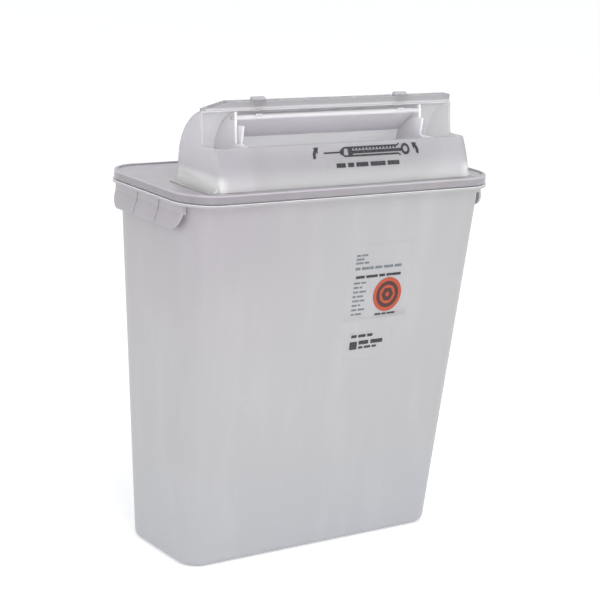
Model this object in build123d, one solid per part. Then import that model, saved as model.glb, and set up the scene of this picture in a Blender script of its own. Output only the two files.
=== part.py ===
from build123d import *
import os
from math import acos, atan2, cos, degrees, hypot, sin, sqrt

# Sharps container: tapered tub, press-on lid, clear hood with a counterbalanced drop tray.
# Millimetres. +Z up, the long side along X, the loading side faces -Y, origin under the tub's centre.

# Tub
base_length = 284.7
base_depth = 107.8
base_corner = 20.0
base_edge = 7.4
top_length = 333.5
top_depth = 145.3
top_corner = 29.0
body_height = 341.5
wall = 2.0
floor_thickness = 2.5
bite = 0.2  # how far joined solids run into each other
past = 1.0  # how far a cut runs past the face it opens
foot_ring_width = 10.0
foot_recess = 1.0

# Rim: the tub's flange and the upright edge that the lid seats on
rim_reach_x = 7.85
rim_reach_y = 6.35
flange_thickness = 2.3
upright_edge = 8.9

# Hand grips under the flange at both ends
grip_length = 112.0
grip_drop = 22.5
grip_lip_reach = 7.1
grip_root_reach = 3.0
grip_straight = 7.5
grip_corner = 15.0
grip_rib_width = 1.8
grip_rib_height = 0.8
grip_rib_y = 18.0
grip_rib_root = 0.5
grip_rib_foot = 1.0
grip_shoulder = 1.0
grip_lip_rise = 0.3

# Lid
lid_gap = 1.2
lid_inset = 0.8
deck_thickness = 2.2
rim_bead_width = 3.5
rim_bead_height = 1.0
lid_edge_round = 1.2
plug_depth = 10.4
plug_wall = 1.8
plug_clearance = 0.3
skirt_wall = 2.0

# Passage through the deck, under the tray
passage_side_margin = 0.3
passage_front_margin = 9.0
passage_back_margin = 6.0
passage_corner = 6.0

# Hood, drawn in its own frame: u backwards from the back wall's face, v up from the deck
hood_length = 282.0
hood_depth = 71.0
hood_front_margin = 8.0
hood_round = 46.5
hood_back_height = 22.9
hood_wall = 2.0
hood_end_fillet = 2.5
hood_flare = 8.0
hood_flange_reach = 3.2
hood_flange_end_reach = 9.5
hood_flange_thickness = 1.2
hood_flange_corner = 12.0
guard_height = 37.4
guard_lean = 13.0
guard_bulge = 1.5
mouth_depth = 20.5
mouth_edge_lean = 4.0
rail_right_setback = 4.0
rail_left_setback = 3.5
rail_slope_length = 24.0
rail_setback = 0.7
rail_width = 9.6
rail_rise = 6.0

# Bearing plates that carry the tray and the closure door
tray_room = 206.0
plate_thickness = 2.0
plate_clearance = 0.5
ramp_back_height = 14.5
ramp_front_height = 2.5
ramp_thickness = 1.6
gusset_width = 10.0
gusset_height = 19.0
gusset_setback = 5.2
gusset_drop = 1.0
stop_radius = 2.0
stop_length = 4.5
stop_gap = 0.3

# Drop tray: its front edge lies behind the guard and its floor runs down to the hood's back wall
tray_axis_v = 20.4
tray_side_gap = 1.0
tray_wall = 1.8
tray_back_gap = 6.0
tray_floor_fall = 9.6
tray_floor_rise = 3.2
front_wall_setback = 1.0
front_wall_drop = 7.8
channel_setback = 4.0
channel_arm = 14.0
channel_radius = 4.5
channel_cover = 0.3
cheek_edge_gap = 1.0
cheek_door_gap = 0.8
cheek_front_margin = 3.5
cheek_top_angle = 95.0
cheek_front_angle = 185.0
boss_radius = 4.2
boss_length = 6.0
boss_floor = 1.0

# Pivots and counterweight
pin_radius = 2.0
pin_head_radius = 3.6
pin_head_length = 1.6
running_gap = 0.05
side_play = 0.3
weight_radius = 2.5
weight_plug_length = 5.0
rod_end = 2.0

# Closure door and its hinge rod
door_setback = 5.3
door_roof_gap = 5.6
door_rod_radius = 1.5
door_barrel_radius = 2.7
door_thickness = 1.8
door_stow_gap = 2.6
door_tip_gap = 0.8
door_side_gap = 1.0
lug_gap = 0.5
lug_thickness = 1.4
lug_length = 7.0

# Lock buttons on the rail
button_x = 80.0
button_length = 14.0
button_depth = 5.0
button_height = 6.2
button_stand = 3.0
button_travel = 3.0
button_gap = 0.3
button_edge_round = 0.9
peg_length = 8.0
peg_depth = 2.2
peg_gap = 0.3

# Labels on the tub's front face: distance to the right of the middle and down from the flange
film_thickness = 0.15
sticker_thickness = 0.2
sticker_radius = 16.5
sticker_x = 54.5
sticker_drop = 96.3
info_x = 43.0
info_drop = 83.5
info_size = (74.0, 76.0)
batch_x = 37.0
batch_drop = 144.5
batch_size = (54.0, 28.0)
label_corner = 3.0

# Sizes that follow from the ones above
rim_length = top_length + 2 * rim_reach_x
rim_depth = top_depth + 2 * rim_reach_y
rim_corner = top_corner + rim_reach_y
flange_top = body_height + flange_thickness
seat_height = body_height + upright_edge
deck_top = seat_height + deck_thickness - rim_bead_height
hood_back_y = hood_depth + hood_front_margin - rim_depth / 2
round_u = -hood_round
guard_top_u = guard_lean - hood_depth
mouth_edge_u = guard_top_u + mouth_depth
rail_front_u = mouth_edge_u + rail_setback
rail_back_u = rail_front_u + rail_width
door_u = rail_front_u + door_setback
channel_u = guard_top_u + channel_setback
channel_v = tray_axis_v
tray_axis_u = channel_u + channel_arm
tray_floor_front = (channel_u + channel_setback, tray_axis_v + tray_floor_rise)
tray_floor_back = (-tray_back_gap, tray_axis_v + tray_floor_rise - tray_floor_fall)
tray_front_wall_top = (guard_top_u + front_wall_setback, guard_height - front_wall_drop)
cheek_front_radius = channel_arm + cheek_front_margin
plate_x = tray_room / 2
tray_x = plate_x - tray_side_gap
door_x = tray_x - tray_wall - door_side_gap


def roof_v(u, radius):
    """Height of the hood's round above the deck at u, on the given radius."""
    return hood_back_height + sqrt(radius ** 2 - (u - round_u) ** 2)


door_v = roof_v(door_u, hood_round - hood_wall) - door_roof_gap
rail_top = roof_v(rail_front_u, hood_round) + rail_rise
guard_edge = (guard_top_u + hood_wall, guard_height)
door_reach = hypot(guard_edge[0] - door_u, guard_edge[1] - door_v) - door_tip_gap
door_closed_angle = degrees(atan2(guard_edge[1] - door_v, guard_edge[0] - door_u))


def stow_angle():
    """Angle at which the door's tip comes within the stow gap of the round's inner face."""
    arm_u = door_u - round_u
    arm_v = door_v - hood_back_height
    arm = hypot(arm_u, arm_v)
    room = hood_round - hood_wall - door_stow_gap
    turn = acos((room ** 2 - arm ** 2 - door_reach ** 2) / (2 * arm * door_reach))
    return degrees(atan2(arm_v, arm_u) - turn)


door_stow_angle = stow_angle()
lug_angle = 90 + (door_stow_angle - door_closed_angle) / 2
lug_radius = hood_round - hood_wall - hypot(door_u - round_u, door_v - hood_back_height) - lug_gap
cheek_radius = min(
    -tray_back_gap - cheek_edge_gap - tray_axis_u,
    hypot(door_u - tray_axis_u, door_v - tray_axis_v) - door_barrel_radius - cheek_door_gap,
)


def slab(length, depth, corner, low, high):
    """Rounded rectangle standing from low to high."""
    return extrude(Pos(0, 0, low) * RectangleRounded(length, depth, corner), high - low)


def tapered(bottom, top, low, high):
    """Loft between two rounded rectangles, each given as length, depth and corner."""
    return loft([Pos(0, 0, low) * RectangleRounded(*bottom), Pos(0, 0, high) * RectangleRounded(*top)])


def in_hood(shape):
    """Put a shape drawn in the hood's frame in its place on the deck."""
    return Pos(0, hood_back_y, deck_top) * shape


def along_x(outline, low, high):
    """Extrude an outline drawn in (u, v) from x = low to x = high."""
    return extrude(Plane.YZ.offset(low) * outline, high - low)


def rod_along_x(u, v, radius, low, high):
    """Round bar parallel to X."""
    return along_x(Pos(u, v) * Circle(radius), low, high)


def left_of(shape):
    """The mirrored twin of a right-hand piece."""
    return mirror(shape, Plane.YZ)


def tub_section(height, inset):
    """Length, depth and corner of the tub's outside at a height, less an inset all round."""
    share = height / body_height
    length = base_length + (top_length - base_length) * share
    depth = base_depth + (top_depth - base_depth) * share
    corner = base_corner + (top_corner - base_corner) * share
    return (length - 2 * inset, depth - 2 * inset, corner - inset)


def grip():
    """Right-hand grip: a curtain under the flange that leans out, with two ribs on its face."""
    root = top_length / 2
    lip = root + grip_lip_reach
    foot = body_height - grip_drop
    shoulder = body_height - grip_straight
    outline = Polyline(
        (root - wall, body_height),
        (root + grip_root_reach, body_height),
        (root + grip_root_reach, shoulder),
        (lip, foot),
        (lip - wall, foot - grip_lip_rise),
        (root + grip_root_reach - wall, shoulder - grip_shoulder),
        (root - wall, shoulder - grip_shoulder),
        close=True,
    )
    curtain = extrude(Plane.XZ * make_face(outline), grip_length / 2, both=True)
    window = Plane.YZ * (Pos(0, body_height) * Rectangle(grip_length, 2 * (grip_drop + past)))
    keep = extrude(window, 2 * top_length)
    keep = fillet(keep.edges().filter_by(Axis.X).group_by(Axis.Z)[0], grip_corner)
    rib_outline = Polyline(
        (root + grip_root_reach - grip_rib_root, body_height),
        (root + grip_root_reach + grip_rib_height, body_height),
        (root + grip_root_reach + grip_rib_height, shoulder),
        (lip + grip_rib_height / 2, foot + grip_rib_foot),
        (lip - 2 * grip_rib_root, foot + grip_rib_foot),
        (root + grip_root_reach - grip_rib_root, shoulder),
        close=True,
    )
    rib = extrude(Plane.XZ * make_face(rib_outline), grip_rib_width / 2, both=True)
    ribs = Pos(0, grip_rib_y, 0) * rib + Pos(0, -grip_rib_y, 0) * rib
    return (curtain & keep) + ribs


def container_body():
    outside = tapered(tub_section(0, 0), tub_section(body_height, 0), 0, body_height)
    outside = fillet(outside.faces().sort_by(Axis.Z)[0].edges(), base_edge)
    upright = slab(top_length, top_depth, top_corner, body_height, seat_height)
    flange = slab(rim_length, rim_depth, rim_corner, body_height, flange_top)
    right_grip = grip()
    inside = tapered(
        tub_section(floor_thickness, wall), tub_section(body_height, wall), floor_thickness, body_height
    )
    inside = fillet(inside.faces().sort_by(Axis.Z)[0].edges(), base_edge - wall)
    throat = slab(top_length - 2 * wall, top_depth - 2 * wall, top_corner - wall, body_height, seat_height)
    ring = base_edge + foot_ring_width
    recess = slab(base_length - 2 * ring, base_depth - 2 * ring, base_corner - base_edge, 0, foot_recess)
    body = outside + upright + flange + right_grip + left_of(right_grip)
    return body - inside - throat - recess


def lid_frame():
    length = rim_length - 2 * lid_inset
    depth = rim_depth - 2 * lid_inset
    corner = rim_corner - lid_inset
    rim_top = seat_height + deck_thickness
    skirt_bottom = flange_top + lid_gap
    block = slab(length, depth, corner, skirt_bottom, rim_top)
    block = fillet(block.faces().sort_by(Axis.Z)[-1].edges(), lid_edge_round)
    recess = slab(
        length - 2 * rim_bead_width, depth - 2 * rim_bead_width, corner - rim_bead_width, deck_top, rim_top
    )
    under = slab(
        length - 2 * skirt_wall, depth - 2 * skirt_wall, corner - skirt_wall, skirt_bottom, seat_height
    )
    plug_inset = wall + plug_clearance
    plug = slab(
        top_length - 2 * plug_inset,
        top_depth - 2 * plug_inset,
        top_corner - plug_inset,
        seat_height - plug_depth,
        seat_height,
    )
    plug_inner_inset = plug_inset + plug_wall
    hollow = slab(
        top_length - 2 * plug_inner_inset,
        top_depth - 2 * plug_inner_inset,
        top_corner - plug_inner_inset,
        seat_height - plug_depth,
        seat_height,
    )
    passage_depth = hood_depth - passage_front_margin - passage_back_margin
    passage_y = hood_back_y - passage_back_margin - passage_depth / 2
    passage_length = tray_room - 2 * passage_side_margin
    passage = slab(passage_length, passage_depth, passage_corner, seat_height - past, rim_top + past)
    return block - recess - under + (plug - hollow) - Pos(0, passage_y, 0) * passage


def hood_profile(inset):
    """The hood's outline in (u, v): back wall, round, mouth step and leaning guard."""
    radius = hood_round - inset
    rail_u = mouth_edge_u + mouth_edge_lean
    roof_angle = degrees(atan2(roof_v(rail_u, radius) - hood_back_height, rail_u - round_u))
    roof = CenterArc((round_u, hood_back_height), radius, 0, roof_angle)
    guard_base = (inset - hood_depth, 0)
    guard_top = (guard_top_u + inset, guard_height)
    guard_middle = (
        (guard_base[0] + guard_top[0]) / 2 - guard_bulge,
        guard_height / 2,
    )
    back = Line((-inset, 0), (-inset, hood_back_height))
    mouth = Polyline(roof @ 1, (mouth_edge_u, guard_height), guard_top)
    guard = ThreePointArc(guard_top, guard_middle, guard_base)
    foot = Line(guard_base, (-inset, 0))
    return make_face([back, roof, mouth, guard, foot])


def rail():
    """Rail on the roof, with a slope up to its top at the left end."""
    low = roof_v(rail_back_u, hood_round - hood_wall)
    left = rail_left_setback - hood_length / 2
    right = hood_length / 2 - rail_right_setback
    section = Polyline(
        (rail_front_u, roof_v(rail_front_u, hood_round - hood_wall / 2)),
        (rail_front_u, rail_top),
        (rail_back_u, rail_top),
        (rail_back_u, roof_v(rail_back_u, hood_round - hood_wall / 2)),
        close=True,
    )
    bar = along_x(make_face(section), left, right)
    elevation = Polyline(
        (left, low),
        (left, rail_top - rail_rise),
        (left + rail_slope_length, rail_top),
        (right, rail_top),
        (right, low),
        close=True,
    )
    return bar & extrude(Plane.XZ * make_face(elevation), hood_depth)


def end_flare():
    """Right-hand flare: a concave sweep from the hood's end wall out to its flange."""
    root = hood_length / 2
    top = hood_flange_thickness + hood_flare
    section = [
        Line((root - hood_wall / 2, 0), (root + hood_flare, 0)),
        Line((root + hood_flare, 0), (root + hood_flare, hood_flange_thickness)),
        CenterArc((root + hood_flare, top), hood_flare, 270, -90),
        Line((root, top), (root - hood_wall / 2, top)),
        Line((root - hood_wall / 2, top), (root - hood_wall / 2, 0)),
    ]
    sweep_back = extrude(Plane.XZ * make_face(section), hood_depth)
    return sweep_back & along_x(hood_profile(hood_end_fillet), 0, hood_length)


def hood():
    half = hood_length / 2
    outer = along_x(hood_profile(0), -half, half)
    ends = outer.edges().group_by(Axis.X)[0] + outer.edges().group_by(Axis.X)[-1]
    round_edges = ends.filter_by(lambda edge: edge.center().Y > mouth_edge_u + mouth_edge_lean)
    guard_edges = ends.filter_by(
        lambda edge: edge.center().Y < guard_top_u and 1.0 < edge.center().Z < guard_height - 1.0
    )
    outer = fillet(round_edges + guard_edges, hood_end_fillet)
    inner = along_x(hood_profile(hood_wall), hood_wall - half, half - hood_wall)
    mouth_height = roof_v(mouth_edge_u, hood_round - hood_wall) - guard_height
    mouth = Box(
        hood_length - 2 * hood_wall,
        2 * hood_depth,
        mouth_height,
        align=(Align.CENTER, Align.MAX, Align.MIN),
    )
    mouth = Pos(0, mouth_edge_u + mouth_edge_lean, guard_height) * mouth
    step = Box(
        hood_length - 2 * hood_wall,
        mouth_edge_u - guard_top_u - hood_wall + mouth_edge_lean,
        2 * hood_wall,
        align=(Align.CENTER, Align.MIN, Align.MAX),
    )
    step = Pos(0, guard_top_u + hood_wall, guard_height) * step
    flange = Pos(0, -hood_depth / 2, 0) * slab(
        hood_length + 2 * hood_flange_end_reach,
        hood_depth + 2 * hood_flange_reach,
        hood_flange_corner,
        0,
        hood_flange_thickness,
    )
    flares = end_flare() + left_of(end_flare())
    shell = outer + flange + flares - inner - mouth - step + rail()
    for x in (-button_x, button_x):
        pocket = Box(
            button_length + 2 * button_gap,
            button_depth + 2 * button_gap,
            button_height - button_stand + button_travel,
            align=(Align.CENTER, Align.CENTER, Align.MAX),
        )
        slot = Box(
            peg_length + 2 * button_gap,
            peg_depth + 2 * button_gap,
            4 * door_roof_gap,
            align=(Align.CENTER, Align.CENTER, Align.MAX),
        )
        shell -= Pos(x, door_u, rail_top) * pocket
        shell -= Pos(x, door_u, rail_top) * slot
    return in_hood(shell)


def bearing_plate():
    """Right-hand plate: carries the tray pin and the hinge rod, with the pocket's ramp outside it."""
    low = plate_x
    high = plate_x + plate_thickness
    inset = hood_wall + plate_clearance
    plate = along_x(hood_profile(inset), low, high)
    ramp_end = hood_length / 2 - hood_wall - plate_clearance
    back = -inset
    front = plate_clearance + hood_wall - hood_depth + guard_bulge
    ramp = along_x(
        make_face(
            Polyline(
                (back, ramp_back_height),
                (back, ramp_back_height - ramp_thickness),
                (front, ramp_front_height - ramp_thickness),
                (front, ramp_front_height),
                close=True,
            )
        ),
        high - bite,
        ramp_end,
    )
    gusset_foot = guard_top_u + gusset_setback
    gusset = extrude(
        Plane.XZ.offset(-gusset_foot)
        * make_face(
            Polyline(
                (high - bite, guard_height - gusset_height),
                (high + gusset_width, guard_height - gusset_height),
                (high - bite, guard_height - gusset_drop),
                close=True,
            )
        ),
        ramp_thickness,
    )
    stop_v = channel_v - channel_radius - stop_gap - stop_radius
    stop = rod_along_x(channel_u, stop_v, stop_radius, low - stop_length, low + bite)
    tray_bore = rod_along_x(tray_axis_u, tray_axis_v, pin_radius + running_gap, low - past, high + past)
    door_bore = rod_along_x(door_u, door_v, door_rod_radius + running_gap, low - past, high + past)
    return in_hood(plate + ramp + gusset + stop - tray_bore - door_bore)


def cheek_face():
    """Side of the tray: a sector behind the pivot and a smaller one in front of it."""
    centre = (tray_axis_u, tray_axis_v)
    floor_angle = degrees(atan2(tray_floor_back[1] - tray_axis_v, tray_floor_back[0] - tray_axis_u))
    back_arc = CenterArc(centre, cheek_radius, floor_angle, cheek_top_angle - floor_angle)
    front_arc = CenterArc(centre, cheek_front_radius, cheek_top_angle, cheek_front_angle - cheek_top_angle)
    outline = [
        back_arc,
        Line(back_arc @ 1, front_arc @ 0),
        front_arc,
        Line(front_arc @ 1, back_arc @ 0),
    ]
    return make_face(outline)


def drop_tray():
    """Trough across the hood, with its pivot bosses and the channel for the counterweight."""
    floor = along_x(
        make_face(
            Polyline(
                tray_floor_front,
                tray_floor_back,
                (tray_floor_back[0], tray_floor_back[1] - tray_wall),
                (tray_floor_front[0] - past, tray_floor_front[1] - tray_wall),
                close=True,
            )
        ),
        -tray_x,
        tray_x,
    )
    front_wall = along_x(
        make_face(
            Polyline(
                (channel_u - channel_radius + channel_cover, channel_v),
                tray_front_wall_top,
                (tray_front_wall_top[0] + tray_wall, tray_front_wall_top[1]),
                (channel_u - channel_radius + tray_wall + channel_cover, channel_v),
                close=True,
            )
        ),
        -tray_x,
        tray_x,
    )
    channel = rod_along_x(channel_u, channel_v, channel_radius, -tray_x, tray_x)
    tray = floor + front_wall + channel
    for side in (-1, 1):
        inner = side * (tray_x - tray_wall)
        outer = side * tray_x
        low, high = min(inner, outer), max(inner, outer)
        tray += along_x(cheek_face(), low, high)
        boss_end = side * (tray_x - boss_length)
        low, high = min(boss_end, outer), max(boss_end, outer)
        tray += rod_along_x(tray_axis_u, tray_axis_v, boss_radius, low, high)
    tray -= rod_along_x(channel_u, channel_v, weight_radius + running_gap, -tray_room, tray_room)
    for side in (-1, 1):
        start = side * (tray_x - boss_length + boss_floor)
        tray -= rod_along_x(
            tray_axis_u, tray_axis_v, pin_radius, min(start, side * tray_room), max(start, side * tray_room)
        )
    return in_hood(tray)


def tray_pin():
    """Right-hand pivot pin: pressed into the tray's boss, running in the bearing plate."""
    shank = rod_along_x(
        tray_axis_u,
        tray_axis_v,
        pin_radius,
        tray_x - boss_length + boss_floor,
        plate_x + plate_thickness + side_play + pin_head_length,
    )
    head_start = plate_x + plate_thickness + side_play
    head = rod_along_x(tray_axis_u, tray_axis_v, pin_head_radius, head_start, head_start + pin_head_length)
    return in_hood(shank + head)


def counterweight_rod():
    half = tray_x - weight_plug_length
    return in_hood(rod_along_x(channel_u, channel_v, weight_radius, -half, half))


def weight_plug():
    """Right-hand plug that shuts the counterweight's channel."""
    start = tray_x - weight_plug_length
    return in_hood(rod_along_x(channel_u, channel_v, weight_radius + running_gap, start, tray_x))


def door_place(angle):
    """Frame on the hinge line whose first axis points along the given angle in (u, v)."""
    return Pos(0, door_u, door_v) * Rot(angle, 0, 0)


def closure_door():
    """Door stowed under the hood's roof: barrel, plate and two lock lugs."""
    barrel_half = plate_x - side_play
    barrel = along_x(Circle(door_barrel_radius), -barrel_half, barrel_half)
    plate = along_x(Pos(door_reach / 2, 0) * Rectangle(door_reach, door_thickness), -door_x, door_x)
    door = door_place(door_stow_angle) * (barrel + plate)
    lug_root = door_rod_radius + running_gap
    lug_outline = Pos((lug_radius + lug_root) / 2, 0) * Rectangle(lug_radius - lug_root, lug_thickness)
    lug = door_place(lug_angle) * along_x(lug_outline, -lug_length / 2, lug_length / 2)
    door += Pos(button_x, 0, 0) * lug + Pos(-button_x, 0, 0) * lug
    bore = rod_along_x(door_u, door_v, door_rod_radius + running_gap, -tray_room, tray_room)
    return in_hood(door - bore)


def door_hinge_rod():
    half = plate_x + plate_thickness + rod_end
    return in_hood(rod_along_x(door_u, door_v, door_rod_radius, -half, half))


def lock_button():
    """Right-hand lock button: a head in the rail's pocket and a peg that comes down by the hinge."""
    head = Box(button_length, button_depth, button_height, align=(Align.CENTER, Align.CENTER, Align.MAX))
    soft_edges = head.edges().filter_by(Axis.Z) + head.faces().sort_by(Axis.Z)[-1].edges()
    head = fillet(soft_edges, button_edge_round)
    head = Pos(button_x, door_u, rail_top + button_stand) * head
    peg_foot = door_v + door_barrel_radius + peg_gap + button_travel
    peg = Box(
        peg_length,
        peg_depth,
        rail_top - peg_foot,
        align=(Align.CENTER, Align.CENTER, Align.MIN),
    )
    return in_hood(head + Pos(button_x, door_u, peg_foot) * peg)


def on_front(x, drop, lift):
    """Plane on the tub's front face, a drop below the flange, lifted off the face, its Y axis up."""
    slope = atan2((top_depth - base_depth) / 2, body_height)
    height = body_height - drop
    face_y = -tub_section(height, 0)[1] / 2
    normal = (0, -cos(slope), -sin(slope))
    origin = (x, face_y + lift * normal[1], height + lift * normal[2])
    return Plane(origin=origin, x_dir=(1, 0, 0), z_dir=normal)


def label(x, drop, size):
    """Clear film stuck on the tub's front."""
    return extrude(on_front(x, drop, 0) * RectangleRounded(*size, label_corner), film_thickness)


def round_sticker():
    place = on_front(sticker_x, sticker_drop, film_thickness)
    return extrude(place * Circle(sticker_radius), sticker_thickness)


nodes = {
    "container_body": container_body(),
    "lid_frame": lid_frame(),
    "hood": hood(),
    "bearing_plate_right": bearing_plate(),
    "bearing_plate_left": left_of(bearing_plate()),
    "drop_tray": drop_tray(),
    "tray_pin_right": tray_pin(),
    "tray_pin_left": left_of(tray_pin()),
    "counterweight_rod": counterweight_rod(),
    "weight_plug_right": weight_plug(),
    "weight_plug_left": left_of(weight_plug()),
    "closure_door": closure_door(),
    "door_hinge_rod": door_hinge_rod(),
    "lock_button_right": lock_button(),
    "lock_button_left": left_of(lock_button()),
    "info_label": label(info_x, info_drop, info_size),
    "round_sticker": round_sticker(),
    "batch_label": label(batch_x, batch_drop, batch_size),
}

os.makedirs("parts", exist_ok=True)
for name, shape in nodes.items():
    export_step(shape, f"parts/{name}.step")
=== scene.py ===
"""Looks of a sharps container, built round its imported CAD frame. Metres, +Z up, front towards -Y."""

import logging
import math
from collections.abc import Sequence
from dataclasses import dataclass
from enum import Enum
from typing import Any

import bmesh
import bpy
from mathutils import Matrix, Vector


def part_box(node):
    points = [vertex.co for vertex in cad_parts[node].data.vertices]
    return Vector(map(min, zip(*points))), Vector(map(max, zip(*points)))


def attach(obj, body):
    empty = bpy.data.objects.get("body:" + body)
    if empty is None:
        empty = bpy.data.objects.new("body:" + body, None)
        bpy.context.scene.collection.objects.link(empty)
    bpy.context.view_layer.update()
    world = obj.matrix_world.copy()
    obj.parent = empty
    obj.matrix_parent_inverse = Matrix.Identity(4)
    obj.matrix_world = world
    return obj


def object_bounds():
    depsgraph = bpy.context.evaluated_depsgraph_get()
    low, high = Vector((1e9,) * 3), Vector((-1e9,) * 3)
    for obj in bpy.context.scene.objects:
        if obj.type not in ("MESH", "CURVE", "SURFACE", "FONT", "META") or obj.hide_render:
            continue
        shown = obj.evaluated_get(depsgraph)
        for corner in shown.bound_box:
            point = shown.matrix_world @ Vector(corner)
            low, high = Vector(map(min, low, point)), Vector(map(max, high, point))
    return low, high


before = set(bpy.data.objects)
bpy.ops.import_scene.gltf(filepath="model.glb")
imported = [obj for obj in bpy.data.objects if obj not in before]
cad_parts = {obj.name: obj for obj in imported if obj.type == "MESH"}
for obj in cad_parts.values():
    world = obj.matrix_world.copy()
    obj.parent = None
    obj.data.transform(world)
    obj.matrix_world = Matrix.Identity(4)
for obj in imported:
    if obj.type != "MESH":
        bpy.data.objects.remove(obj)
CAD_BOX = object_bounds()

LOG = logging.getLogger("sharps_container")
MM = 0.001

Colour = tuple[float, float, float, float]
# Black for painted shade in bands; white for painted light in bands and inside the hood, and for faint flow
# streaks
PAINTED_SHADE: Colour = (0.0, 0.0, 0.0, 1.0)
BRIGHT: Colour = (1.0, 1.0, 1.0, 1.0)
CHALKY: Colour = (0.92, 0.92, 0.93, 1.0)

# Where zones of a moulding fade in, in metres; END_ZONE is where the painted highlight at the hood's ends
# fades in
END_ZONE = (128 * MM, 141 * MM)
WARM_HEIGHTS = (0.10, 0.40)
WARM_ACROSS = (-0.14, 0.06)
COOL_HEIGHTS = (0.0, 0.16)

# Sizes of what moulding and handling leave on the plastic
TINT_SIZE = 110 * MM
FLOW_SIZE = 26 * MM
SCUFF_SIZE = 5 * MM
HANDLED_SIZE = 60 * MM
WAVE_SIZE = 45 * MM
GRAIN_SIZE = 0.9 * MM
UPRIGHT = (1.0, 1.0, 0.22)
LEVEL = (1.0, 1.0, 3.5)
Point = tuple[float, float]
Outline = list[Point]


def srgb(red: int, green: int, blue: int) -> Colour:
    """Turn an 8-bit display colour into the linear one that shaders use.

    Args:
        red: Red from 0 to 255.
        green: Green from 0 to 255.
        blue: Blue from 0 to 255.

    Returns:
        The linear colour with an alpha of 1.
    """
    shares = [channel / 255 for channel in (red, green, blue)]
    linear = [share / 12.92 if share <= 0.04045 else ((share + 0.055) / 1.055) ** 2.4 for share in shares]
    return (linear[0], linear[1], linear[2], 1.0)


class Value:
    """An output socket that takes part in Python expressions."""

    def __init__(self, network: "Network", socket: bpy.types.NodeSocket) -> None:
        """Wrap one socket of a network."""
        self.network = network
        self.socket = socket

    def _math(self, operation: str, first: Any, second: Any) -> "Value":
        """Add the Math node of one operation."""
        return self.network.add("ShaderNodeMath", {"operation": operation}, {0: first, 1: second})

    def __add__(self, other: "Value | float") -> "Value":
        """Add."""
        return self._math("ADD", self, other)

    def __radd__(self, other: float) -> "Value":
        """Add, with the number on the left."""
        return self._math("ADD", other, self)

    def __sub__(self, other: "Value | float") -> "Value":
        """Subtract."""
        return self._math("SUBTRACT", self, other)

    def __rsub__(self, other: float) -> "Value":
        """Subtract from a number."""
        return self._math("SUBTRACT", other, self)

    def __mul__(self, other: "Value | float") -> "Value":
        """Multiply."""
        return self._math("MULTIPLY", self, other)

    def __rmul__(self, other: float) -> "Value":
        """Multiply, with the number on the left."""
        return self._math("MULTIPLY", other, self)

    def over(self, least: float) -> "Value":
        """Keep the value at or above the least."""
        return self._math("MAXIMUM", self, least)

    def step_up(self, low: float, high: float) -> "Value":
        """Ease from 0 at low to 1 at high.

        Args:
            low: Where the ramp starts.
            high: Where it ends.

        Returns:
            The eased share.
        """
        settings = {"interpolation_type": "SMOOTHSTEP"}
        return self.network.add("ShaderNodeMapRange", settings, {"Value": self, 1: low, 2: high})


class Network:
    """The node tree of one material."""

    def __init__(self, name: str) -> None:
        """Start an empty material."""
        self.material = bpy.data.materials.new(name)
        self.material.use_nodes = True
        self.tree = self.material.node_tree
        self.tree.nodes.clear()

    def add(
        self,
        kind: str,
        settings: dict[str, Any] | None = None,
        inputs: dict[int | str, Any] | None = None,
        output: int | str = 0,
    ) -> Value:
        """Add one node: its settings first, then the values or links of its sockets.

        Args:
            kind: The node's type.
            settings: Properties of the node.
            inputs: Numbers, colours or values for its sockets.
            output: Which output to hand back.

        Returns:
            The wrapped output.
        """
        node = self.tree.nodes.new(kind)
        for key, setting in (settings or {}).items():
            setattr(node, key, setting)
        for key, given in (inputs or {}).items():
            if isinstance(given, Value):
                self.tree.links.new(given.socket, node.inputs[key])
            else:
                node.inputs[key].default_value = given
        return Value(self, node.outputs[output] if len(node.outputs) else None)

    def place(self, stretch: Sequence[float] = (1.0, 1.0, 1.0)) -> Value:
        """Place in the row frame, multiplied along each axis.

        Args:
            stretch: Multiplier along X, Y and Z.

        Returns:
            The vector value.
        """
        here = self.add("ShaderNodeTexCoord", output="Object")
        return self.add("ShaderNodeVectorMath", {"operation": "MULTIPLY"}, {0: here, 1: tuple(stretch)})

    def axis(self, name: str) -> Value:
        """One coordinate of the place, in metres."""
        here = self.add("ShaderNodeTexCoord", output="Object")
        return self.add("ShaderNodeSeparateXYZ", None, {0: here}, output=name)

    def noise(self, size: float, detail: float = 2.0, stretch: Sequence[float] = (1.0, 1.0, 1.0)) -> Value:
        """Noise from 0 to 1 with features of about the given size.

        Args:
            size: Feature size in metres.
            detail: Octaves.
            stretch: Multiplier of the place along each axis.

        Returns:
            The noise value.
        """
        inputs = {"Vector": self.place(stretch), "Scale": 1 / size, "Detail": detail}
        return self.add("ShaderNodeTexNoise", None, inputs)

    def blend(self, share: "Value | float", first: "Value | Colour", second: "Value | Colour") -> Value:
        """Mix two colours.

        Args:
            share: How much of the second.
            first: The colour at 0.
            second: The colour at 1.

        Returns:
            The mixed colour.
        """
        return self.add("ShaderNodeMix", {"data_type": "RGBA"}, {0: share, 6: first, 7: second}, output=2)

    def bump(self, height: Value, depth: float, under: Value | None = None) -> Value:
        """Turn a height from 0 to 1 into a normal.

        Args:
            height: The relief.
            depth: Its full depth in metres.
            under: The normal of a coarser relief below.

        Returns:
            The normal value.
        """
        inputs: dict[int | str, Any] = {"Height": height, "Distance": depth, "Strength": 1.0}
        if under is not None:
            inputs["Normal"] = under
        return self.add("ShaderNodeBump", None, inputs)

    def finish(self, inputs: dict[int | str, Any]) -> bpy.types.Material:
        """Close the network with a Principled shader.

        Args:
            inputs: The shader's sockets.

        Returns:
            The finished material.
        """
        shader = self.add("ShaderNodeBsdfPrincipled", None, inputs)
        self.add("ShaderNodeOutputMaterial", None, {"Surface": shader})
        return self.material


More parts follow.
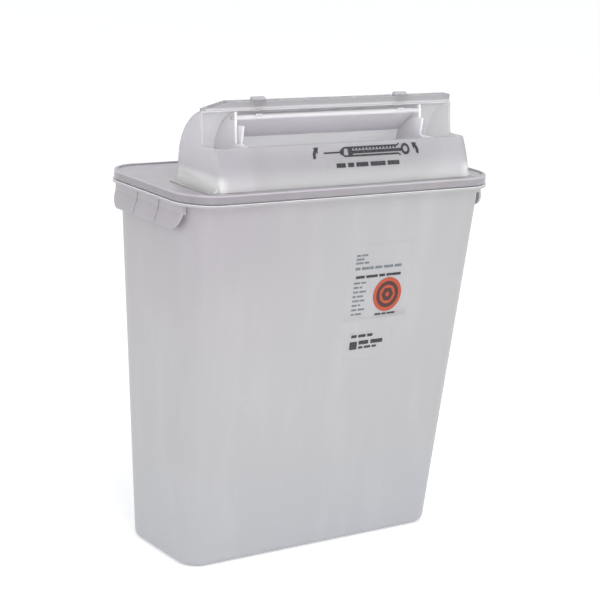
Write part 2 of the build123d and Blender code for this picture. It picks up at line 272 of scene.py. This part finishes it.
@dataclass(frozen=True)
class Band:
    """Zone of a moulding painted in another tone by height: painted shade where the tone is dark, painted
    light where it is bright.

    Attributes:
        start: Height where the tone begins.
        end: Height where it has its full share, above or below the start.
        tone: The tone.
        share: How much of it shows.
        ends_only: Whether it keeps to the two ends of the moulding.
    """

    start: float
    end: float
    tone: Colour
    share: float
    ends_only: bool = False


@dataclass(frozen=True)
class Hollow:
    """Inside of the hood, where light bounces between milky walls and lifts the tone.

    Attributes:
        axis_y: Y of the axis that the roof and back are rounded about.
        axis_z: Height of that axis.
        reach: Distance from the axis to the middle of the wall.
        end: Distance from the mid plane to the middle of an end wall.
        front: Y of the guard's inner edge.
        share: How much the tone is lifted.
        slack: Half the width over which it fades.
    """

    axis_y: float = -46.5 * MM
    axis_z: float = 374.5 * MM
    reach: float = 45.5 * MM
    end: float = 140 * MM
    front: float = -56 * MM
    share: float = 0.9
    slack: float = 0.2 * MM

    def mask(self, net: "Network") -> Value:
        """Share from 0 outside to 1 inside."""
        slack = self.slack
        back = (net.axis("Y") - self.axis_y).over(0.0)
        rise = (net.axis("Z") - self.axis_z).over(0.0)
        across = net.axis("X")
        away = back * back + rise * rise
        within = 1 - away.step_up((self.reach - slack) ** 2, (self.reach + slack) ** 2)
        between = 1 - (across * across).step_up((self.end - slack) ** 2, (self.end + slack) ** 2)
        behind = net.axis("Y").step_up(self.front - slack, self.front + slack)
        return within * between * behind * self.share


@dataclass(frozen=True)
class MouldedPlastic:
    """Injection-moulded polypropylene: milky, finely grained, with slow flow marks and light scuffs.

    Attributes:
        name: The material's name.
        colour: Main colour.
        warm: Tint that drifts in towards the top of the left end.
        cool: Tint that drifts in towards the foot.
        see_through: Share of light that passes.
        roughness: Middle of the roughness.
        spread: How much the roughness wanders.
        grain: Depth of the fine grain.
        wave: Depth of the slow waviness of the wall.
        scuff: Strength of the handling scuffs.
        scatter: Share of the rest that spreads inside the wall.
        bands: Zones of painted shade and painted light.
        hollow: Inside that shows a lifted tone.
        painted_glow: Strength of the painted glow, light given off by the wall though it is no lamp.
    """

    name: str
    colour: Colour
    warm: Colour
    cool: Colour
    see_through: float = 0.0
    roughness: float = 0.42
    spread: float = 0.12
    grain: float = 0.018 * MM
    wave: float = 0.25 * MM
    scuff: float = 0.35
    scatter: float = 0.0
    bands: tuple[Band, ...] = ()
    hollow: Hollow | None = None
    painted_glow: float = 0.0

    def make(self) -> bpy.types.Material:
        """Build the material."""
        net = Network(self.name)
        drift = net.noise(TINT_SIZE, 2.0)
        height = net.axis("Z")
        across = net.axis("X")
        warmth = height.step_up(*WARM_HEIGHTS) * (1 - across.step_up(*WARM_ACROSS)) * (0.4 + drift * 0.8)
        cold = (1 - height.step_up(*COOL_HEIGHTS)) * (0.35 + drift * 0.7)
        tinted = net.blend(cold, net.blend(warmth, self.colour, self.warm), self.cool)
        flow = net.noise(FLOW_SIZE, 4.0, UPRIGHT)
        streaked = net.blend(flow.step_up(0.42, 0.78) * 0.04, tinted, BRIGHT)
        handled = net.noise(HANDLED_SIZE).step_up(0.5, 0.7)
        rubbed = net.noise(SCUFF_SIZE, 5.0, LEVEL).step_up(0.60, 0.72) * handled
        shown = net.blend(rubbed * self.scuff * 0.3, streaked, CHALKY)
        # Painted shade and painted light: each band blends its tone in over a span of height
        for band in self.bands:
            zone = height.step_up(*sorted((band.start, band.end)))
            if band.end < band.start:
                zone = 1 - zone
            if band.ends_only:
                zone = zone * (across * across).step_up(END_ZONE[0] ** 2, END_ZONE[1] ** 2)
            shown = net.blend(zone * band.share, shown, band.tone)
        if self.hollow is not None:
            shown = net.blend(self.hollow.mask(net), shown, BRIGHT)
        rough = self.roughness + (flow - 0.5) * self.spread + rubbed * self.scuff * 0.25
        wavy = net.bump(net.noise(WAVE_SIZE, 1.0), self.wave)
        grained = net.bump(net.noise(GRAIN_SIZE, 3.0), self.grain, wavy)
        return net.finish(
            {
                "Base Color": shown,
                "Roughness": rough,
                "Normal": grained,
                "IOR": 1.49,
                "Transmission Weight": self.see_through,
                "Subsurface Weight": self.scatter,
                "Subsurface Radius": (0.9, 0.9, 1.0),
                "Subsurface Scale": 4 * MM,
                # Painted glow: the wall gives off light in its own colour though it is no lamp
                "Emission Color": self.colour,
                "Emission Strength": self.painted_glow,
            }
        )


@dataclass(frozen=True)
class DrawnSteel:
    """Bright drawn bar with fine lines along X.

    Attributes:
        name: The material's name.
        colour: The metal's colour.
    """

    name: str
    colour: Colour

    def make(self) -> bpy.types.Material:
        """Build the material."""
        net = Network(self.name)
        lines = net.noise(0.5 * MM, 3.0, (0.02, 1.0, 1.0))
        dull = net.noise(14 * MM, 3.0).step_up(0.45, 0.75)
        shade = net.blend(dull * 0.5, self.colour, srgb(120, 116, 110))
        return net.finish(
            {
                "Base Color": shade,
                "Metallic": 1.0,
                "Roughness": 0.24 + lines * 0.16 + dull * 0.12,
                "Normal": net.bump(lines, 0.01 * MM),
            }
        )


@dataclass(frozen=True)
class Film:
    """Thin self-adhesive film with a faint orange peel and small trapped bubbles.

    Attributes:
        name: The material's name.
        colour: The film's colour.
        worn: Colour where it is rubbed.
        cover: How much it hides what is under it.
        roughness: Its gloss.
    """

    name: str
    colour: Colour
    worn: Colour
    cover: float
    roughness: float

    def make(self) -> bpy.types.Material:
        """Build the material."""
        net = Network(self.name)
        patches = net.noise(9 * MM, 4.0)
        bubbles = net.noise(2.2 * MM, 1.0).step_up(0.70, 0.80)
        shade = net.blend(patches.step_up(0.45, 0.8) * 0.35, self.colour, self.worn)
        peel = net.bump(net.noise(1.6 * MM, 2.0), 0.012 * MM)
        return net.finish(
            {
                "Base Color": shade,
                "Roughness": self.roughness + patches * 0.10 - bubbles * 0.05,
                "Normal": net.bump(bubbles, 0.02 * MM, peel),
                "Alpha": self.cover,
                "IOR": 1.46,
            }
        )


@dataclass(frozen=True)
class Ink:
    """Screen ink with an uneven film and pinholes.

    Attributes:
        name: The material's name.
        colour: Colour where the ink is thick.
        thin: Colour where it is thin.
    """

    name: str
    colour: Colour
    thin: Colour

    def make(self) -> bpy.types.Material:
        """Build the material."""
        net = Network(self.name)
        cloud = net.noise(2.5 * MM, 4.0)
        holes = net.noise(0.45 * MM, 2.0).step_up(0.66, 0.74)
        shade = net.blend(cloud.step_up(0.4, 0.75) * 0.5 + holes * 0.4, self.colour, self.thin)
        return net.finish(
            {
                "Base Color": shade,
                "Roughness": 0.46 + cloud * 0.18,
                "Normal": net.bump(cloud, 0.01 * MM),
            }
        )


class Finish(Enum):
    """The finishes of this container."""

    TUB = MouldedPlastic(
        "tub_polypropylene",
        srgb(167, 166, 167),
        srgb(163, 157, 163),
        srgb(165, 167, 172),
        see_through=0.12,
        scatter=0.3,
        # Painted shade on the upper wall under the rim, and painted light in the gap under the lid's skirt
        bands=(Band(0.220, 0.335, PAINTED_SHADE, 0.055), Band(0.3433, 0.3437, BRIGHT, 0.8)),
    )
    LID = MouldedPlastic(
        "lid_polypropylene",
        srgb(176, 172, 177),
        srgb(174, 167, 175),
        srgb(172, 172, 178),
        see_through=0.15,
        roughness=0.20,
        spread=0.06,
        grain=0.004 * MM,
        wave=0.08 * MM,
        scuff=0.1,
        scatter=0.6,
        # Painted shade on the rim's skirt below the deck
        bands=(Band(0.3514, 0.3506, PAINTED_SHADE, 0.36),),
    )
    HOOD = MouldedPlastic(
        "hood_polypropylene",
        srgb(204, 203, 206),
        srgb(202, 198, 203),
        srgb(202, 202, 207),
        see_through=0.55,
        roughness=0.22,
        spread=0.05,
        grain=0.004 * MM,
        wave=0.08 * MM,
        scuff=0.0,
        scatter=1.0,
        bands=(
            # Painted shade along the hood's top ridge above 420 mm
            Band(0.4200, 0.4215, PAINTED_SHADE, 0.38),
            # Painted highlights along the hood's foot, strongest at its two ends
            Band(0.3700, 0.3560, BRIGHT, 0.25),
            Band(0.3690, 0.3590, BRIGHT, 0.95, ends_only=True),
        ),
        hollow=Hollow(),
    )
    TRAY = MouldedPlastic(
        "tray_polypropylene",
        srgb(242, 239, 245),
        srgb(240, 235, 243),
        srgb(239, 239, 245),
        see_through=0.15,
        roughness=0.30,
        spread=0.05,
        grain=0.005 * MM,
        wave=0.08 * MM,
        scuff=0.0,
        scatter=1.0,
    )
    PLATE = MouldedPlastic(
        "plate_polypropylene",
        srgb(244, 241, 247),
        srgb(242, 237, 245),
        srgb(241, 241, 247),
        see_through=0.10,
        roughness=0.24,
        spread=0.05,
        grain=0.004 * MM,
        wave=0.05 * MM,
        scuff=0.0,
        scatter=1.0,
        # Painted glow on the bearing plates
        painted_glow=0.03,
    )
    DOOR = MouldedPlastic(
        "door_polypropylene",
        srgb(219, 216, 222),
        srgb(217, 212, 220),
        srgb(216, 216, 222),
        see_through=0.15,
        roughness=0.30,
        spread=0.05,
        grain=0.004 * MM,
        wave=0.06 * MM,
        scuff=0.0,
        scatter=1.0,
    )
    STEEL = DrawnSteel("drawn_steel", srgb(196, 194, 190))
    FILM = Film("clear_film", srgb(214, 213, 218), srgb(204, 204, 210), 0.08, 0.22)
    STICKER = Film("orange_film", srgb(156, 62, 34), srgb(168, 82, 54), 1.0, 0.34)
    BLACK = Ink("black_ink", srgb(28, 28, 34), srgb(74, 74, 82))
    BROWN = Ink("dark_ink", srgb(52, 22, 18), srgb(96, 40, 26))
    GREEN_GREY = Ink("grey_ink", srgb(92, 100, 104), srgb(136, 142, 146))

    def made(self) -> bpy.types.Material:
        """The finish's material, built once."""
        found = bpy.data.materials.get(self.value.name)
        return found or self.value.make()


def dress(piece: bpy.types.Object, finish: Finish) -> None:
    """Give an object one finish all over."""
    piece.data.materials.clear()
    piece.data.materials.append(finish.made())


@dataclass
class CadGroup:
    """CAD nodes that keep their shape and share a finish.

    Attributes:
        finish: Their finish.
        names: The nodes.
    """

    finish: Finish
    names: tuple[str, ...]

    def build(self) -> None:
        """Dress every node of the group."""
        for name in self.names:
            dress(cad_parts[name], self.finish)
            LOG.info("%s: %s", name, self.finish.value.name)


def bar(left: float, right: float, middle: float, height: float) -> Outline:
    """Upright rectangle, given by its ends, its middle height and its thickness."""
    low, high = middle - height / 2, middle + height / 2
    return [(left, low), (right, low), (right, high), (left, high)]


def sweep(centre: Point, inner: float, outer: float, start: float, end: float, steps: int) -> list[Outline]:
    """Ring or part of one, as a row of quads.

    Args:
        centre: Its centre.
        inner: Inner radius.
        outer: Outer radius.
        start: First angle in degrees.
        end: Last angle in degrees.
        steps: Number of quads.

    Returns:
        The quads.
    """
    angles = [math.radians(start + (end - start) * k / steps) for k in range(steps + 1)]
    ways = [(math.cos(a), math.sin(a)) for a in angles]
    inside = [(centre[0] + inner * c, centre[1] + inner * s) for c, s in ways]
    outside = [(centre[0] + outer * c, centre[1] + outer * s) for c, s in ways]
    return [[inside[k], outside[k], outside[k + 1], inside[k + 1]] for k in range(steps)]


def words(left: float, right: float, middle: float, height: float, shares: Sequence[float]) -> list[Outline]:
    """Row of plain bars of differing length that stands for a line of print.

    Args:
        left: Where the row starts.
        right: Where it ends.
        middle: Height of its middle.
        height: Thickness of the bars.
        shares: Relative length of each bar.

    Returns:
        One outline for each bar.
    """
    gap = 0.7 * height
    room = right - left - gap * (len(shares) - 1)
    row = []
    for share in shares:
        length = room * share / sum(shares)
        row.append(bar(left, left + length, middle, height))
        left += length + gap
    return row


@dataclass(frozen=True)
class Line:
    """One line of print as a row of bars, in millimetres from the middle of what it is printed on.

    Attributes:
        left: Where it starts.
        right: Where it ends.
        up: Height of its middle.
        height: Thickness of its bars.
        shares: Relative length of each bar.
    """

    left: float
    right: float
    up: float
    height: float
    shares: tuple[int, ...] = (1,)

    def bars(self, middle: Point) -> list[Outline]:
        """Outlines of the bars.

        Args:
            middle: Middle of what it is printed on.

        Returns:
            One outline for each bar.
        """
        x, z = middle
        return words(x + self.left * MM, x + self.right * MM, z + self.up * MM, self.height * MM, self.shares)


def set_lines(lines: Sequence[Line], middle: Point) -> list[Outline]:
    """Bars of several lines, in order."""
    return [outline for line in lines for outline in line.bars(middle)]


@dataclass
class Print:
    """Ink on a face that looks towards -Y.

    Attributes:
        name: The piece's name.
        body: The CAD body that it rides on.
        slot: Name of a finish slot; not used.
        under: The CAD node that it is printed on.
        finish: The ink.
        outlines: What is printed, as outlines in X and Z.
        thickness: How far the ink stands proud.
        bite: How far its back runs into the face.
        stand_off: How far in front of the container its outlines are cast from.
    """

    name: str
    body: str
    slot: str
    under: str
    finish: Finish
    outlines: list[Outline]
    thickness: float = 0.07 * MM
    bite: float = 0.02 * MM
    stand_off: float = 1.0

    def _drop(self, x: float, z: float, lift: float) -> Vector:
        """Point of the face at x and z, lifted off it along its normal."""
        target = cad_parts[self.under]
        start = Vector((x, CAD_BOX[0].y - self.stand_off, z))
        hit, place, normal, _ = target.ray_cast(start, Vector((0, 1, 0)))
        if not hit:
            raise ValueError(f"{self.name} runs off {self.under} at {x:.4f}, {z:.4f}")
        return place + normal.normalized() * lift

    def build(self) -> bpy.types.Object:
        """Lay the outlines on the face and make them solid.

        Returns:
            The printed piece.
        """
        mesh = bmesh.new()
        for outline in self.outlines:
            mesh.faces.new([mesh.verts.new((x, 0.0, z)) for x, z in outline])
        bmesh.ops.remove_doubles(mesh, verts=mesh.verts, dist=0.001 * MM)
        lower = list(mesh.verts)
        raised = bmesh.ops.extrude_face_region(mesh, geom=list(mesh.faces), use_keep_orig=True)
        upper = [part for part in raised["geom"] if isinstance(part, bmesh.types.BMVert)]
        for vert in lower:
            vert.co = self._drop(vert.co.x, vert.co.z, -self.bite)
        for vert in upper:
            vert.co = self._drop(vert.co.x, vert.co.z, self.thickness)
        bmesh.ops.recalc_face_normals(mesh, faces=mesh.faces)
        data = bpy.data.meshes.new(self.name)
        mesh.to_mesh(data)
        mesh.free()
        piece = bpy.data.objects.new(self.name, data)
        bpy.context.scene.collection.objects.link(piece)
        dress(piece, self.finish)
        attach(piece, self.body)
        LOG.info("%s: %d faces on %s", self.name, len(data.polygons), self.under)
        return piece


def middle_of(node: str) -> Point:
    """Middle of a CAD node in X and Z."""
    low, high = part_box(node)
    return ((low.x + high.x) / 2, (low.z + high.z) / 2)


@dataclass
class InfoPrint:
    """Print on the large film: plain bars in place of its lines.

    Attributes:
        heading: The bold line.
        upper: The lines above it.
        foot: The line under the round sticker.
        column_left: Left edge of the column under the heading.
        column_right: Right edge of the column's plain rows.
        column_top: Height of its first row.
        pitch: From one row to the next.
        row_height: Thickness of its bars.
        rows: Number of rows.
        reaches: How far past the right edge each row in turn runs.
        row_shares: Relative length of the bars of each row in turn.
    """

    heading: Line = Line(-27.5, 25.0, 6.4, 2.6, (3, 4, 2, 5))
    upper: tuple[Line, ...] = (
        Line(-29.0, -16.0, 27.2, 1.9, (2, 3)),
        Line(-29.0, -20.0, 23.6, 1.9),
        Line(-29.0, -14.0, 20.0, 1.9, (3, 2)),
        Line(-29.0, 25.0, 14.6, 2.6, (2, 5, 3, 4, 3)),
    )
    foot: Line = Line(-1.0, 23.0, -31.5, 1.8, (3, 2, 4))
    column_left: float = -29.0
    column_right: float = -15.0
    column_top: float = 0.8
    pitch: float = 4.3
    row_height: float = 1.8
    rows: int = 8
    reaches: tuple[float, ...] = (0.0, -4.0, 1.0, -2.0)
    row_shares: tuple[tuple[int, ...], ...] = ((4, 3), (2, 1), (3, 4), (1, 2))

    def _column(self) -> list[Line]:
        """Rows of the column, from the top."""
        lines = []
        for row in range(self.rows):
            right = self.column_right + self.reaches[row % len(self.reaches)]
            up = self.column_top - self.pitch * row
            shares = self.row_shares[row % len(self.row_shares)]
            lines.append(Line(self.column_left, right, up, self.row_height, shares))
        return lines

    def build(self) -> None:
        """Print the bars."""
        middle = middle_of("info_label")
        heading = self.heading.bars(middle)
        small = set_lines([*self.upper, *self._column()], middle)
        Print("info_heading", "tub", "label_film", "info_label", Finish.BLACK, heading).build()
        Print("info_lines", "tub", "label_film", "info_label", Finish.GREEN_GREY, small).build()
        Print("info_foot", "tub", "label_film", "info_label", Finish.BLACK, self.foot.bars(middle)).build()


@dataclass
class StickerPrint:
    """Plain mark on the round sticker: a ring round a pierced hexagon.

    Attributes:
        ring_inner: Inner radius of the ring.
        ring_outer: Outer radius of the ring.
        core: Radius of the hexagon.
        hole: Radius of its hole.
        steps: Number of quads round the hexagon.
        ring_steps: Number of quads round the ring.
    """

    ring_inner: float = 9.0 * MM
    ring_outer: float = 12.8 * MM
    core: float = 7.0 * MM
    hole: float = 2.2 * MM
    steps: int = 48
    ring_steps: int = 64

    def _pierced(self, centre: Point) -> list[Outline]:
        """Hexagon with a round hole, as a row of quads."""
        side = math.pi / 3
        quads = []
        for k in range(self.steps):
            sides = []
            for j in (k, k + 1):
                angle = math.tau * j / self.steps
                reach = self.core * math.cos(side / 2) / math.cos(angle % side - side / 2)
                way = (math.cos(angle), math.sin(angle))
                sides.append([(centre[0] + r * way[0], centre[1] + r * way[1]) for r in (self.hole, reach)])
            quads.append([sides[0][0], sides[0][1], sides[1][1], sides[1][0]])
        return quads

    def build(self) -> None:
        """Print the mark."""
        centre = middle_of("round_sticker")
        ring = sweep(centre, self.ring_inner, self.ring_outer, 0, 360, self.ring_steps)
        marks = ring + self._pierced(centre)
        Print("sticker_mark", "tub", "sticker_film", "round_sticker", Finish.BROWN, marks).build()


@dataclass
class BatchPrint:
    """Print on the small film.

    Attributes:
        lines: A line, a block, a heavy line beside the block and a light one under that.
    """

    lines: tuple[Line, ...] = (
        Line(-19.5, 5.5, 9.8, 2.8, (3, 4, 3)),
        Line(-20.5, -12.0, 0.8, 7.6),
        Line(-10.0, 18.0, 3.2, 3.8, (4, 5)),
        Line(-10.0, 11.0, -1.6, 2.2, (2, 3, 2)),
    )

    def build(self) -> None:
        """Print the bars."""
        marks = set_lines(self.lines, middle_of("batch_label"))
        Print("batch_lines", "tub", "label_film", "batch_label", Finish.BLACK, marks).build()


@dataclass
class Syringe:
    """Plain picture of a syringe laid level, its needle to the left.

    Attributes:
        half: Half the barrel's height.
        wall: Thickness of the barrel's walls.
        nose: From the middle to the barrel's nose.
        tail: From the middle to the barrel's open end.
        cone: Length of the nose's cone.
        point: From the middle to the needle's point.
        needle: Thickness of the needle.
        window: Clear length between cone and plunger.
        plunger: Length of the plunger's head.
        rod: Thickness of the plunger's rod.
        rod_drop: How far the rod lies below the axis.
        flange: Length of the finger flange.
        flange_reach: How far it stands out from the barrel.
        marks: Number of scale marks.
        first_mark: From the cone to the first mark.
        mark_pitch: From one mark to the next.
        mark_length: Length of a mark.
        mark_height: Height of a mark.
        ring_inner: Inner radius of the thumb ring.
        ring_outer: Outer radius of the thumb ring.
        ring_out: From the open end to the ring's middle.
        ring_steps: Number of quads round the ring.
    """

    half: float = 4.3 * MM
    wall: float = 1.5 * MM
    nose: float = 32 * MM
    tail: float = 34 * MM
    cone: float = 4 * MM
    point: float = 51 * MM
    needle: float = 1.3 * MM
    window: float = 4 * MM
    plunger: float = 5 * MM
    rod: float = 2.6 * MM
    rod_drop: float = 0.4 * MM
    flange: float = 1.8 * MM
    flange_reach: float = 1 * MM
    marks: int = 13
    first_mark: float = 11 * MM
    mark_pitch: float = 3.9 * MM
    mark_length: float = 2.0 * MM
    mark_height: float = 1.4 * MM
    ring_inner: float = 2.6 * MM
    ring_outer: float = 5.0 * MM
    ring_out: float = 8.2 * MM
    ring_steps: int = 32

    def outlines(self, x: float, z: float) -> list[Outline]:
        """Needle, hub, barrel with its scale, plunger and thumb ring.

        Args:
            x: Middle of the picture.
            z: Height of its axis.

        Returns:
            The outlines.
        """
        hub, tail = x - self.nose - 1 * MM, x + self.tail
        barrel = x - self.nose + self.cone
        head = barrel + self.window
        rod = head + self.plunger
        half, wall = self.half, self.wall
        shapes = [
            bar(x - self.point, hub, z, self.needle),
            [(hub, z - wall), (barrel, z - half), (barrel, z + half), (hub, z + wall)],
            bar(barrel, tail, z + half - wall / 2, wall),
            bar(barrel, tail, z - half + wall / 2, wall),
            bar(head, rod, z, 2 * (half - wall)),
            bar(rod, tail + 4 * MM, z - self.rod_drop, self.rod),
            bar(tail, tail + self.flange, z, 2 * (half + self.flange_reach)),
        ]
        for mark in range(self.marks):
            at = barrel + self.first_mark + self.mark_pitch * mark
            up = z + half - wall - self.mark_height / 2
            shapes.append(bar(at, at + self.mark_length, up, self.mark_height))
        ring = (tail + self.ring_out, z)
        shapes += sweep(ring, self.ring_inner, self.ring_outer, 0, 360, self.ring_steps)
        return shapes


@dataclass
class Arrow:
    """Short curved arrow that points upwards and away from the syringe's middle.

    Attributes:
        radius: Radius of its curve.
        half: Half its thickness.
        inset: From its place to the middle of the curve, across.
        drop: From its place to the middle of the curve, down.
        foot: Angle of its foot from level, in degrees.
        tip: Angle where the head starts, in degrees.
        barb: Half the head's width.
        head: Length of the head.
        steps: Number of quads along it.
    """

    radius: float = 5.4 * MM
    half: float = 1.5 * MM
    inset: float = 3.4 * MM
    drop: float = 2.0 * MM
    foot: float = -25.0
    tip: float = 50.0
    barb: float = 3.4 * MM
    head: float = 4.8 * MM
    steps: int = 10

    def outlines(self, x: float, z: float, hand: int) -> list[Outline]:
        """The arrow's stem and head.

        Args:
            x: Its place across.
            z: Its place in height.
            hand: 1 for the right-hand arrow, -1 for the left-hand one.

        Returns:
            The outlines.
        """
        centre = (x - hand * self.inset, z - self.drop)
        start, end = (self.foot, self.tip) if hand > 0 else (180 - self.foot, 180 - self.tip)
        stem = sweep(centre, self.radius - self.half, self.radius + self.half, start, end, self.steps)
        angle = math.radians(end)
        way = (math.cos(angle), math.sin(angle))
        lead = (-hand * way[1], hand * way[0])
        root = (centre[0] + self.radius * way[0], centre[1] + self.radius * way[1])
        head = [
            (root[0] - self.barb * way[0], root[1] - self.barb * way[1]),
            (root[0] + self.barb * way[0], root[1] + self.barb * way[1]),
            (root[0] + self.head * lead[0], root[1] + self.head * lead[1]),
        ]
        return [*stem, head]


@dataclass
class GuardPrint:
    """Picture of a syringe laid level between two turning arrows, over a row of bars.

    Attributes:
        middle: Middle of the picture in X.
        drop: How far the syringe's axis lies below the guard's top edge.
        rise: Height of the guard above the lid's deck.
        left_arrow: From the middle to the left-hand arrow.
        right_arrow: From the middle to the right-hand arrow.
        row: The bars under the picture.
    """

    middle: float = 25 * MM
    drop: float = 8.0 * MM
    rise: float = 37.4 * MM
    left_arrow: float = 60 * MM
    right_arrow: float = 54 * MM
    row: Line = Line(-39.0, 33.0, -11.2, 3.8, (3, 2, 4, 5, 4))

    def build(self) -> None:
        """Print the picture and the bars on the guard."""
        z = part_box("hood")[0].z + self.rise - self.drop
        picture = Syringe().outlines(self.middle, z)
        left = Arrow().outlines(self.middle - self.left_arrow, z, -1)
        right = Arrow().outlines(self.middle + self.right_arrow, z, 1)
        row = self.row.bars((self.middle, z))
        Print("guard_picture", "lid", "hood_plastic", "hood", Finish.BLACK, picture).build()
        Print("guard_arrows", "lid", "hood_plastic", "hood", Finish.BLACK, left + right).build()
        Print("guard_lines", "lid", "hood_plastic", "hood", Finish.BLACK, row).build()


@dataclass(frozen=True)
class Lamp:
    """One square softbox.

    Attributes:
        name: Its name.
        place: Where it hangs.
        size: Its side.
        watts: Its power.
        aim: What it points at.
    """

    name: str
    place: tuple[float, float, float]
    size: float
    watts: float
    aim: tuple[float, float, float]

    def hang(self) -> None:
        """Hang it."""
        data = bpy.data.lights.new(self.name, "AREA")
        data.energy = self.watts
        data.size = self.size
        lamp = bpy.data.objects.new(self.name, data)
        lamp.location = self.place
        lamp.rotation_euler = (Vector(self.aim) - Vector(self.place)).to_track_quat("-Z", "Y").to_euler()
        bpy.context.scene.collection.objects.link(lamp)


TUB_MIDDLE = (0.0, 0.0, 0.22)
MOUTH = (0.0, -0.03, 0.38)


@dataclass
class Studio:
    """Pale floor, soft lamps and the camera.

    Attributes:
        floor_size: Side of the floor.
        floor_glow: Light that the floor gives off, as a light table does.
        camera_place: Where the camera stands.
        yaw: Its turn from +Y towards +X, in radians.
        pitch: How far it looks down, in radians.
        roll: Its roll, in radians.
        lens: Focal length in millimetres on a 36 mm sensor.
        sky: Colour of the surrounding light.
        sky_strength: Its strength.
        lamps: The softboxes.
    """

    floor_size: float = 60.0
    floor_glow: float = 0.22
    camera_place: tuple[float, float, float] = (-1.0155, -1.3780, 0.6600)
    yaw: float = 0.637
    pitch: float = 0.247
    roll: float = 0.066
    lens: float = 111.9
    sky: Colour = (0.97, 0.98, 1.0, 1.0)
    sky_strength: float = 0.85
    lamps: tuple[Lamp, ...] = (
        Lamp("front_softbox", (1.3, -2.1, 0.5), 1.4, 12.0, TUB_MIDDLE),
        Lamp("mouth_softbox", (-0.7, -2.0, 0.52), 0.9, 15.0, MOUTH),
        Lamp("top_softbox", (-0.2, -1.1, 1.7), 1.1, 7.0, MOUTH),
        Lamp("side_softbox", (-2.2, 0.6, 0.8), 1.3, 17.0, TUB_MIDDLE),
    )

    def _floor(self) -> None:
        """Lay the floor just under the feet."""
        half = self.floor_size / 2
        data = bpy.data.meshes.new("floor")
        corners = [(-half, -half, 0), (half, -half, 0), (half, half, 0), (-half, half, 0)]
        data.from_pydata(corners, [], [(0, 1, 2, 3)])
        floor = bpy.data.objects.new("floor", data)
        bpy.context.scene.collection.objects.link(floor)
        net = Network("pale_floor")
        shade = net.blend(net.noise(0.5, 2.0) * 0.3, (0.93, 0.93, 0.93, 1.0), (0.90, 0.90, 0.905, 1.0))
        inputs = {
            "Base Color": shade,
            "Roughness": 0.9,
            "Specular IOR Level": 0.1,
            "Emission Color": (1.0, 1.0, 1.0, 1.0),
            "Emission Strength": self.floor_glow,
        }
        data.materials.append(net.finish(inputs))

    def _camera(self) -> None:
        """Place the camera."""
        forward = Vector(
            (
                math.sin(self.yaw) * math.cos(self.pitch),
                math.cos(self.yaw) * math.cos(self.pitch),
                -math.sin(self.pitch),
            )
        )
        level = forward.cross(Vector((0, 0, 1))).normalized()
        upright = level.cross(forward)
        right = math.cos(self.roll) * level + math.sin(self.roll) * upright
        up = -math.sin(self.roll) * level + math.cos(self.roll) * upright
        turn = Matrix((right, up, -forward)).transposed().to_4x4()
        data = bpy.data.cameras.new("camera")
        data.sensor_width = 36.0
        data.lens = self.lens
        camera = bpy.data.objects.new("camera", data)
        camera.matrix_world = Matrix.Translation(self.camera_place) @ turn
        bpy.context.scene.collection.objects.link(camera)
        bpy.context.scene.camera = camera

    def build(self) -> None:
        """Set the floor, the surrounding light, the lamps and the camera."""
        self._floor()
        world = bpy.data.worlds.new("studio")
        world.use_nodes = True
        background = world.node_tree.nodes["Background"]
        background.inputs["Color"].default_value = self.sky
        background.inputs["Strength"].default_value = self.sky_strength
        bpy.context.scene.world = world
        for lamp in self.lamps:
            lamp.hang()
        self._camera()
        bpy.context.scene.view_settings.view_transform = "Standard"


@dataclass
class SharpsContainer:
    """The whole container, group by group."""

    def build(self) -> None:
        """Dress the CAD nodes and add the printed pieces."""
        CadGroup(Finish.TUB, ("container_body",)).build()
        CadGroup(Finish.LID, ("lid_frame", "lock_button_right", "lock_button_left")).build()
        CadGroup(Finish.HOOD, ("hood",)).build()
        CadGroup(Finish.PLATE, ("bearing_plate_right", "bearing_plate_left")).build()
        CadGroup(Finish.DOOR, ("closure_door",)).build()
        pins = ("tray_pin_right", "tray_pin_left")
        plugs = ("weight_plug_right", "weight_plug_left")
        tray = ("drop_tray", *pins, *plugs)
        CadGroup(Finish.TRAY, tray).build()
        CadGroup(Finish.STEEL, ("counterweight_rod", "door_hinge_rod")).build()
        CadGroup(Finish.FILM, ("info_label", "batch_label")).build()
        CadGroup(Finish.STICKER, ("round_sticker",)).build()
        InfoPrint().build()
        StickerPrint().build()
        BatchPrint().build()
        GuardPrint().build()


def main() -> None:
    """Build the container and its studio."""
    logging.basicConfig(level=logging.INFO, format="%(message)s")
    SharpsContainer().build()
    Studio().build()


if __name__ == "__main__":
    main()
